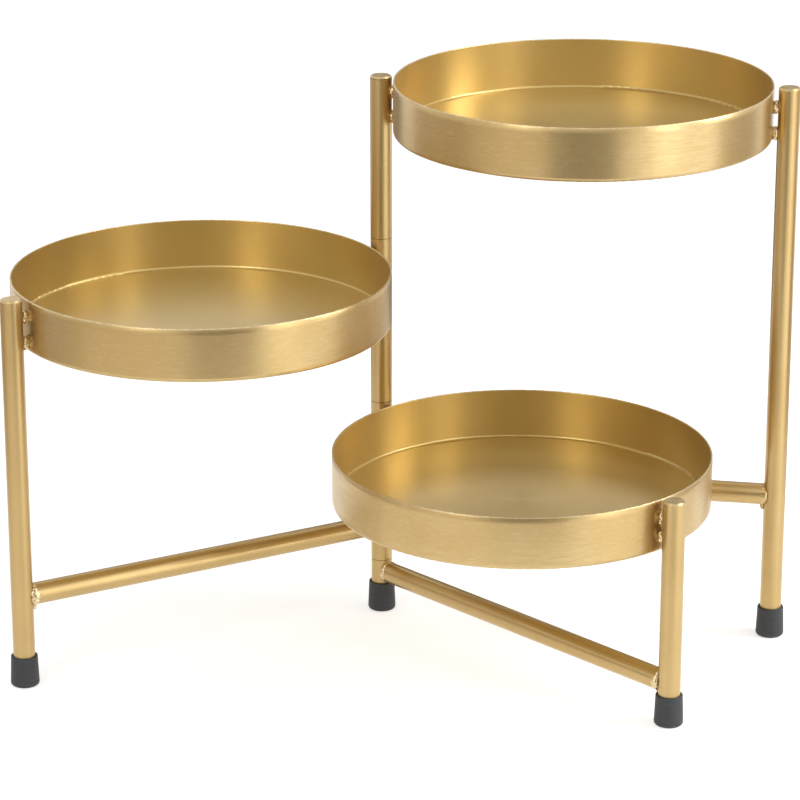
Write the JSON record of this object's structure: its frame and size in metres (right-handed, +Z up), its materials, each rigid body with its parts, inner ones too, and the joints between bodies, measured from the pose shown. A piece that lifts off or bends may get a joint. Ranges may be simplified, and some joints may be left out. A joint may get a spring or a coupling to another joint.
{
  "type": "folding tiered plant stand",
  "caption": "Folding tiered plant stand: round shallow trays at stepped heights in tube frames that swing about one post.",
  "frame": {"origin": "on the floor under the post's axis, at the centre of the post foot's base", "axes": "+Z up along the post, +X to the right and +Y away from the viewer of the picture; the high frame stands near +X, the middle frame near -X and the low frame to the front right"},
  "size_m": [0.4615, 0.2833, 0.338],
  "materials": {
    "gold_paint": "satin",
    "black_rubber": "matt",
    "zinc_steel": "zinc-plated"
  },
  "bodies": {
    "low_frame": {"low_crossbar_sleeve": "gold_paint", "low_tray_sleeve": "gold_paint", "low_crossbar": "gold_paint", "low_leg": "gold_paint", "low_leg_plug": "gold_paint", "low_tray": "gold_paint", "low_tray_studs": "gold_paint", "low_foot": "black_rubber", "pivot_tube": "zinc_steel", "post_plug": "gold_paint", "post_foot": "black_rubber"},
    "high_frame": {"high_tray_sleeve": "gold_paint", "high_crossbar_sleeve": "gold_paint", "high_crossbar": "gold_paint", "high_leg": "gold_paint", "high_leg_plug": "gold_paint", "high_tray": "gold_paint", "high_tray_studs": "gold_paint", "high_foot": "black_rubber"},
    "middle_frame": {"middle_tray_sleeve": "gold_paint", "middle_crossbar_sleeve": "gold_paint", "middle_crossbar": "gold_paint", "middle_leg": "gold_paint", "middle_leg_plug": "gold_paint", "middle_tray": "gold_paint", "middle_tray_studs": "gold_paint", "middle_foot": "black_rubber"}
  },
  "joints": [
    {"name": "high_frame_hinge", "type": "hinge", "parent": "low_frame", "child": "high_frame", "pos_m": [0, 0, 0.285], "axis": [0, 0, 1], "range_deg": [-32, 141]},
    {"name": "middle_frame_hinge", "type": "hinge", "parent": "low_frame", "child": "middle_frame", "pos_m": [0, 0, 0.186], "axis": [0, 0, 1], "range_deg": [-73.5, 99.5]}
  ]
}
